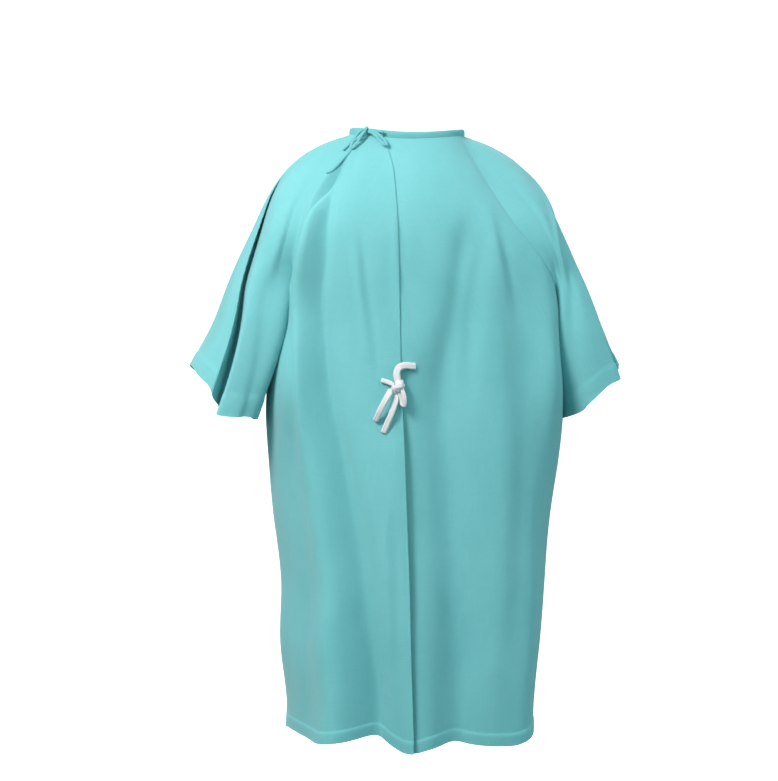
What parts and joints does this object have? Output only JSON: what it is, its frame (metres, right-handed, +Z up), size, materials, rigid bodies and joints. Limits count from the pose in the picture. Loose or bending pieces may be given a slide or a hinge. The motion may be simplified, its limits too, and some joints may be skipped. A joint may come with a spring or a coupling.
{
  "type": "wrap-back patient gown",
  "caption": "Knee-length wrap-back patient gown in its worn shape, with wide raglan sleeves, a bound round neck and ties at the back of the neck and waist.",
  "frame": {"origin": "on the gown's middle line, level with the side of the neck, where the gown bears on the shoulders", "axes": "+Z up; the front of the gown faces -Y and its back faces +Y; the wearer's left is +X"},
  "size_m": [0.748, 0.3698, 1.0617],
  "materials": {
    "gown_cloth": "thin plain-woven cotton blend, soft matt",
    "binding_cloth": "the same cloth folded to a narrow tape, soft matt",
    "waist_tie": "soft white woven cotton tape, matt"
  },
  "bodies": {
    "gown": {"front_panel": "gown_cloth", "back_left_panel": "gown_cloth", "back_right_panel": "gown_cloth", "sleeve_left_shoulder": "gown_cloth", "sleeve_right_shoulder": "gown_cloth", "neck_binding": "binding_cloth", "neck_tie_lead": "binding_cloth", "neck_tie_bow": "binding_cloth", "waist_tie_right_lead": "waist_tie", "waist_tie_left_lead": "waist_tie", "waist_tie_bow": "waist_tie"},
    "left_sleeve": {"sleeve_left": "gown_cloth"},
    "right_sleeve": {"sleeve_right": "gown_cloth"},
    "back_flap": {"back_left_flap": "gown_cloth"},
    "waist_long_tail": {"waist_tie_long_tail": "waist_tie"},
    "waist_short_tail": {"waist_tie_short_tail": "waist_tie"},
    "neck_long_tail": {"neck_tie_long_tail": "binding_cloth"},
    "neck_short_tail": {"neck_tie_short_tail": "binding_cloth"}
  },
  "joints": [
    {"name": "left_sleeve_lift", "type": "hinge", "parent": "gown", "child": "left_sleeve", "pos_m": [0.233, 0, -0.087], "axis": [0, -1, 0], "range_deg": [0, 45]},
    {"name": "right_sleeve_lift", "type": "hinge", "parent": "gown", "child": "right_sleeve", "pos_m": [-0.233, 0, -0.087], "axis": [0, 1, 0], "range_deg": [0, 45]},
    {"name": "back_flap_swing", "type": "hinge", "parent": "gown", "child": "back_flap", "pos_m": [0.036, 0.17, -0.452], "axis": [0.1274, 0, -0.9919], "range_deg": [0, 35]},
    {"name": "waist_long_tail_swing", "type": "hinge", "parent": "gown", "child": "waist_long_tail", "pos_m": [0.0428, 0.1747, -0.4496], "axis": [1, 0, 0], "range_deg": [0, 70]},
    {"name": "waist_short_tail_swing", "type": "hinge", "parent": "gown", "child": "waist_short_tail", "pos_m": [0.0539, 0.1773, -0.4393], "axis": [1, 0, 0], "range_deg": [0, 70]},
    {"name": "neck_long_tail_swing", "type": "hinge", "parent": "gown", "child": "neck_long_tail", "pos_m": [0.0847, 0.0566, -0.0056], "axis": [0.705, -0.673, 0.224], "range_deg": [0, 45]},
    {"name": "neck_short_tail_swing", "type": "hinge", "parent": "gown", "child": "neck_short_tail", "pos_m": [0.089, 0.0544, -0.0005], "axis": [0.705, -0.673, 0.224], "range_deg": [0, 45]}
  ]
}
